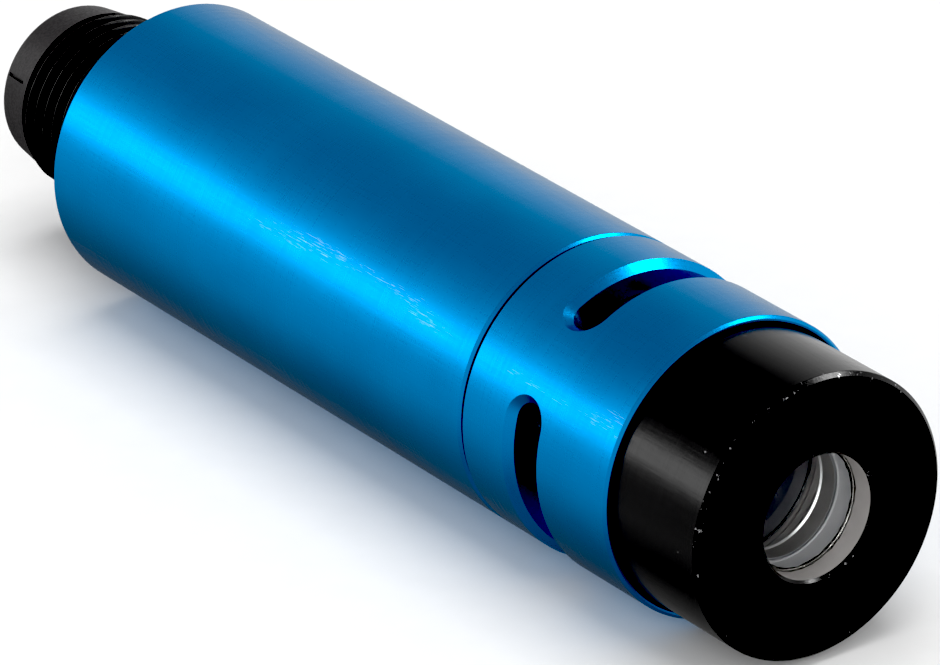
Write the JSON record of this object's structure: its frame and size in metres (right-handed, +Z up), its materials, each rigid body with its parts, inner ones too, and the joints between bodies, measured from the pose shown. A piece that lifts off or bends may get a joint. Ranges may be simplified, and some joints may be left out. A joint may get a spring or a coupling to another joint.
{
  "type": "laser collimator",
  "caption": "Round collimated laser module: clamped barrel, slotted front ring, turning focus nose with a round window, male threaded connector at the rear.",
  "frame": {"origin": "on the optical axis, in the plane of the barrel's rear shoulder face", "axes": "+X along the optical axis towards the beam exit, +Z up when the module lies level; angles round the axis start at -Y and rise over +Z"},
  "size_m": [0.0782, 0.019, 0.019],
  "materials": {
    "blue_anodised": "fine-turned, bright dipped, blue anodised",
    "black_anodised": "fine-turned, black anodised, semi-gloss",
    "black_metal_thread": "black plated, gloss",
    "black_nylon": "glass-filled moulded, matte",
    "black_rubber": "moulded nitrile, satin",
    "gold_plate": "gold plated, bright",
    "bare_aluminium": "turned, natural",
    "brass": "turned",
    "green_board": "solder mask",
    "chip_plastic": "moulded epoxy",
    "ceramic": "sintered",
    "tinned_copper": "tin plated",
    "trimmer_blue": "moulded",
    "polyimide": "amber film",
    "stainless_steel": "drawn or ground",
    "kovar_gold": "gold-flashed",
    "laser_crystal": "cleaved",
    "optical_glass": "polished, coated",
    "clear_adhesive": "cured clear resin"
  },
  "bodies": {
    "module": {"barrel": "blue_anodised", "connector_shell": "black_metal_thread", "connector_seal": "black_rubber", "connector_lock_ring": "bare_aluminium", "connector_insulator": "black_nylon", "contact_pins": "gold_plate", "pin_board": "green_board", "driver_board": "green_board", "insulating_liner": "polyimide", "regulator_chip": "chip_plastic", "control_chip": "chip_plastic", "chip_leads": "tinned_copper", "power_inductor": "chip_plastic", "filter_capacitors": "ceramic", "chip_resistors": "ceramic", "trimmer_body": "trimmer_blue", "diode_mount": "brass", "diode_stem": "kovar_gold", "diode_cap": "kovar_gold", "diode_window": "optical_glass", "laser_chip": "laser_crystal", "diode_leads": "gold_plate", "diode_clamp_ring": "bare_aluminium", "guide_pins": "stainless_steel", "focus_spring": "stainless_steel", "slotted_ring": "blue_anodised"},
    "nose": {"focus_nose": "black_anodised", "focus_drag_ring": "black_rubber", "stop_screw": "stainless_steel", "exit_window": "optical_glass", "window_bond": "clear_adhesive", "window_retainer": "bare_aluminium"},
    "lens": {"lens_cell": "bare_aluminium", "collimating_lens": "optical_glass", "lens_retainer": "bare_aluminium"},
    "trimmer": {"trimmer_rotor": "brass"}
  },
  "joints": [
    {"name": "focus_turn", "type": "hinge", "parent": "module", "child": "nose", "pos_m": [0.0497, 0, 0], "axis": [1, 0, 0], "range_deg": [-36, 36]},
    {"name": "lens_slide", "type": "slide", "parent": "module", "child": "lens", "axis": [1, 0, 0], "range_m": [-0.0003005, 0.0003005], "deforming": ["focus_spring"]},
    {"name": "power_trim", "type": "hinge", "parent": "module", "child": "trimmer", "pos_m": [0.0242, -0.0034, 0.002], "axis": [0, 0, 1], "range_deg": [-130, 130]}
  ],
  "couplings": [
    {"joint": "lens_slide", "follows": "focus_turn", "m_per_rad": -0.00047746}
  ]
}
